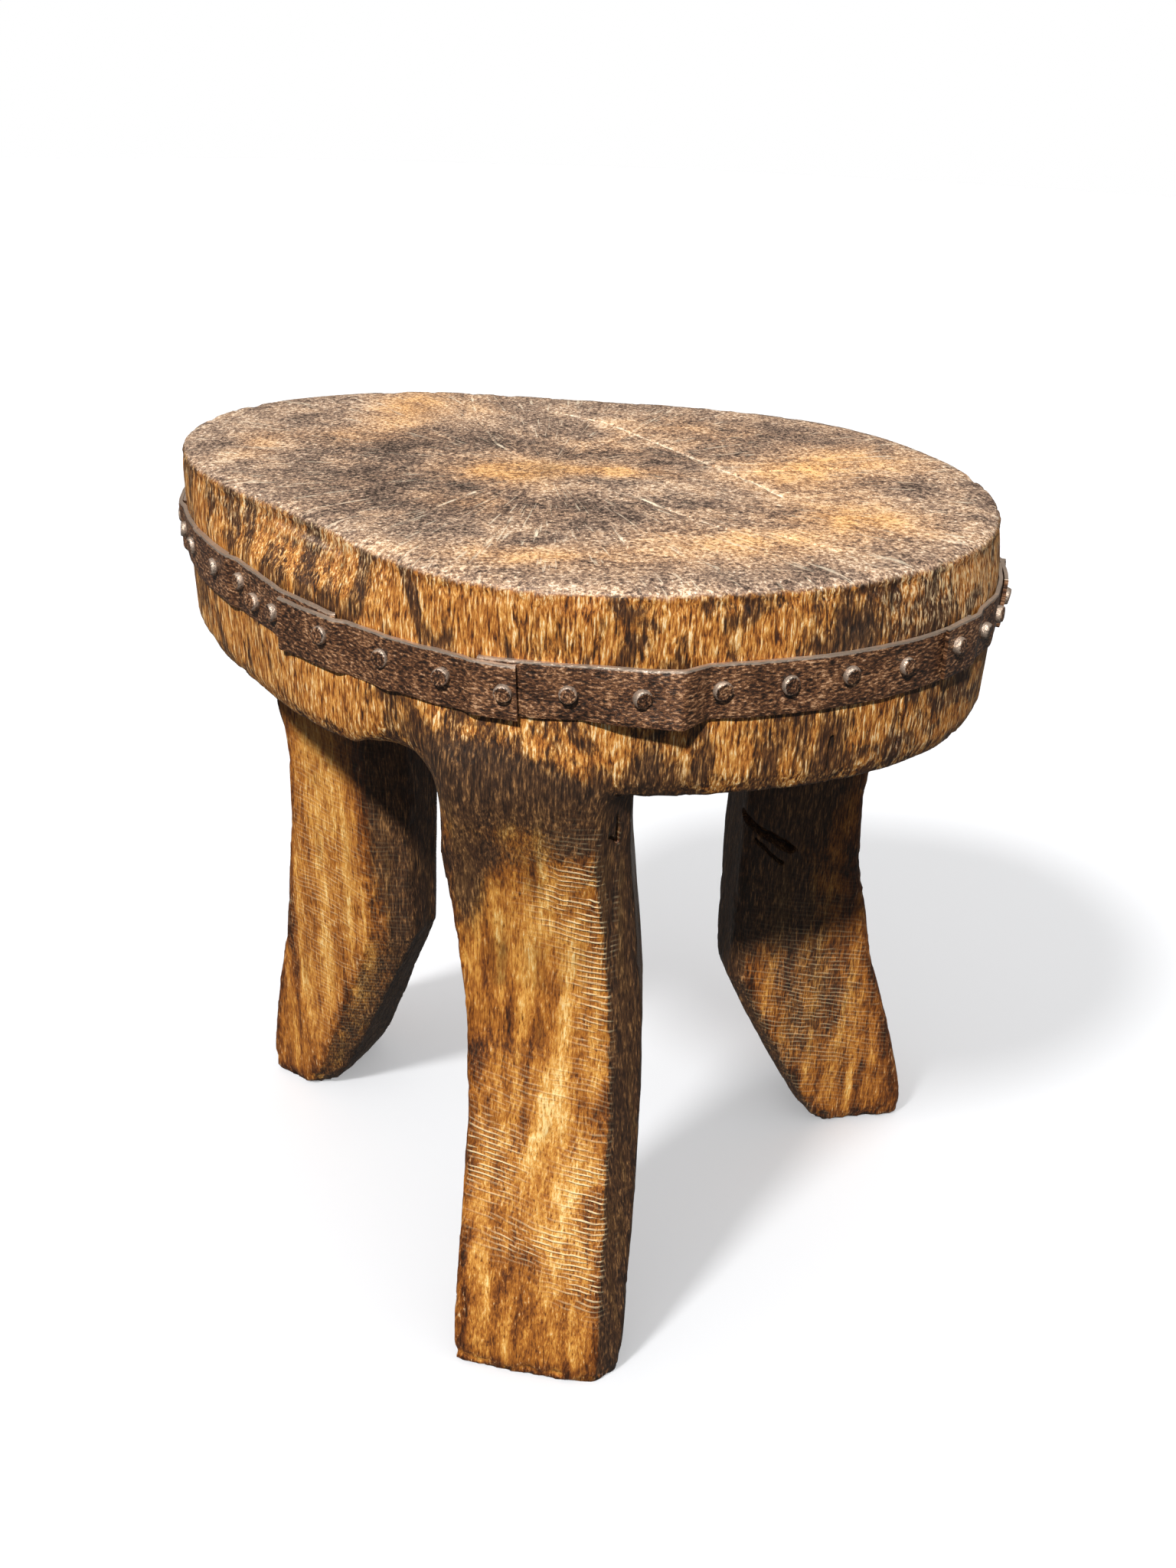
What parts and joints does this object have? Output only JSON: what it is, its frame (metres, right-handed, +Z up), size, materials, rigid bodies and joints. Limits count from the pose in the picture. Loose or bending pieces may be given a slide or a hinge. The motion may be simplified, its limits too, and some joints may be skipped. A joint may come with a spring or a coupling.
{
  "type": "milking stool",
  "caption": "Low oval stool hewn from one log, with outward-flaring legs and a band of lapped hoop-iron straps nailed round the seat.",
  "frame": {"origin": "on the floor, at the middle of the stool's outline seen from above", "axes": "+Z up out of the seat; -Y towards the leg that is seen face on"},
  "size_m": [0.3876, 0.3222, 0.38],
  "materials": {
    "hewn_wood": "old, hand-hewn, worn and stained",
    "hoop_iron": "dark rusted hoop iron",
    "nail_iron": "dark hand-forged nails"
  },
  "bodies": {
    "root": {"clout_nail_01": "nail_iron", "clout_nail_02": "nail_iron", "clout_nail_03": "nail_iron", "clout_nail_04": "nail_iron", "clout_nail_05": "nail_iron", "clout_nail_06": "nail_iron", "clout_nail_07": "nail_iron", "clout_nail_08": "nail_iron", "clout_nail_09": "nail_iron", "clout_nail_10": "nail_iron", "clout_nail_11": "nail_iron", "clout_nail_12": "nail_iron", "clout_nail_13": "nail_iron", "clout_nail_14": "nail_iron", "clout_nail_15": "nail_iron", "clout_nail_16": "nail_iron", "clout_nail_17": "nail_iron", "clout_nail_18": "nail_iron", "clout_nail_19": "nail_iron", "clout_nail_20": "nail_iron", "clout_nail_21": "nail_iron", "clout_nail_22": "nail_iron", "clout_nail_23": "nail_iron", "clout_nail_24": "nail_iron", "clout_nail_25": "nail_iron", "clout_nail_26": "nail_iron", "clout_nail_27": "nail_iron", "clout_nail_28": "nail_iron", "clout_nail_29": "nail_iron", "clout_nail_30": "nail_iron", "clout_nail_31": "nail_iron", "clout_nail_32": "nail_iron", "clout_nail_33": "nail_iron", "clout_nail_34": "nail_iron", "clout_nail_35": "nail_iron", "clout_nail_36": "nail_iron", "clout_nail_37": "nail_iron", "clout_nail_38": "nail_iron", "clout_nail_39": "nail_iron", "clout_nail_40": "nail_iron", "hewn_log_body": "hewn_wood", "hoop_iron_strap_1": "hoop_iron", "hoop_iron_strap_2": "hoop_iron", "hoop_iron_strap_3": "hoop_iron", "hoop_iron_strap_4": "hoop_iron", "hoop_iron_strap_5": "hoop_iron", "hoop_iron_strap_6": "hoop_iron", "hoop_iron_strap_7": "hoop_iron", "hoop_iron_strap_8": "hoop_iron"}
  },
  "joints": []
}
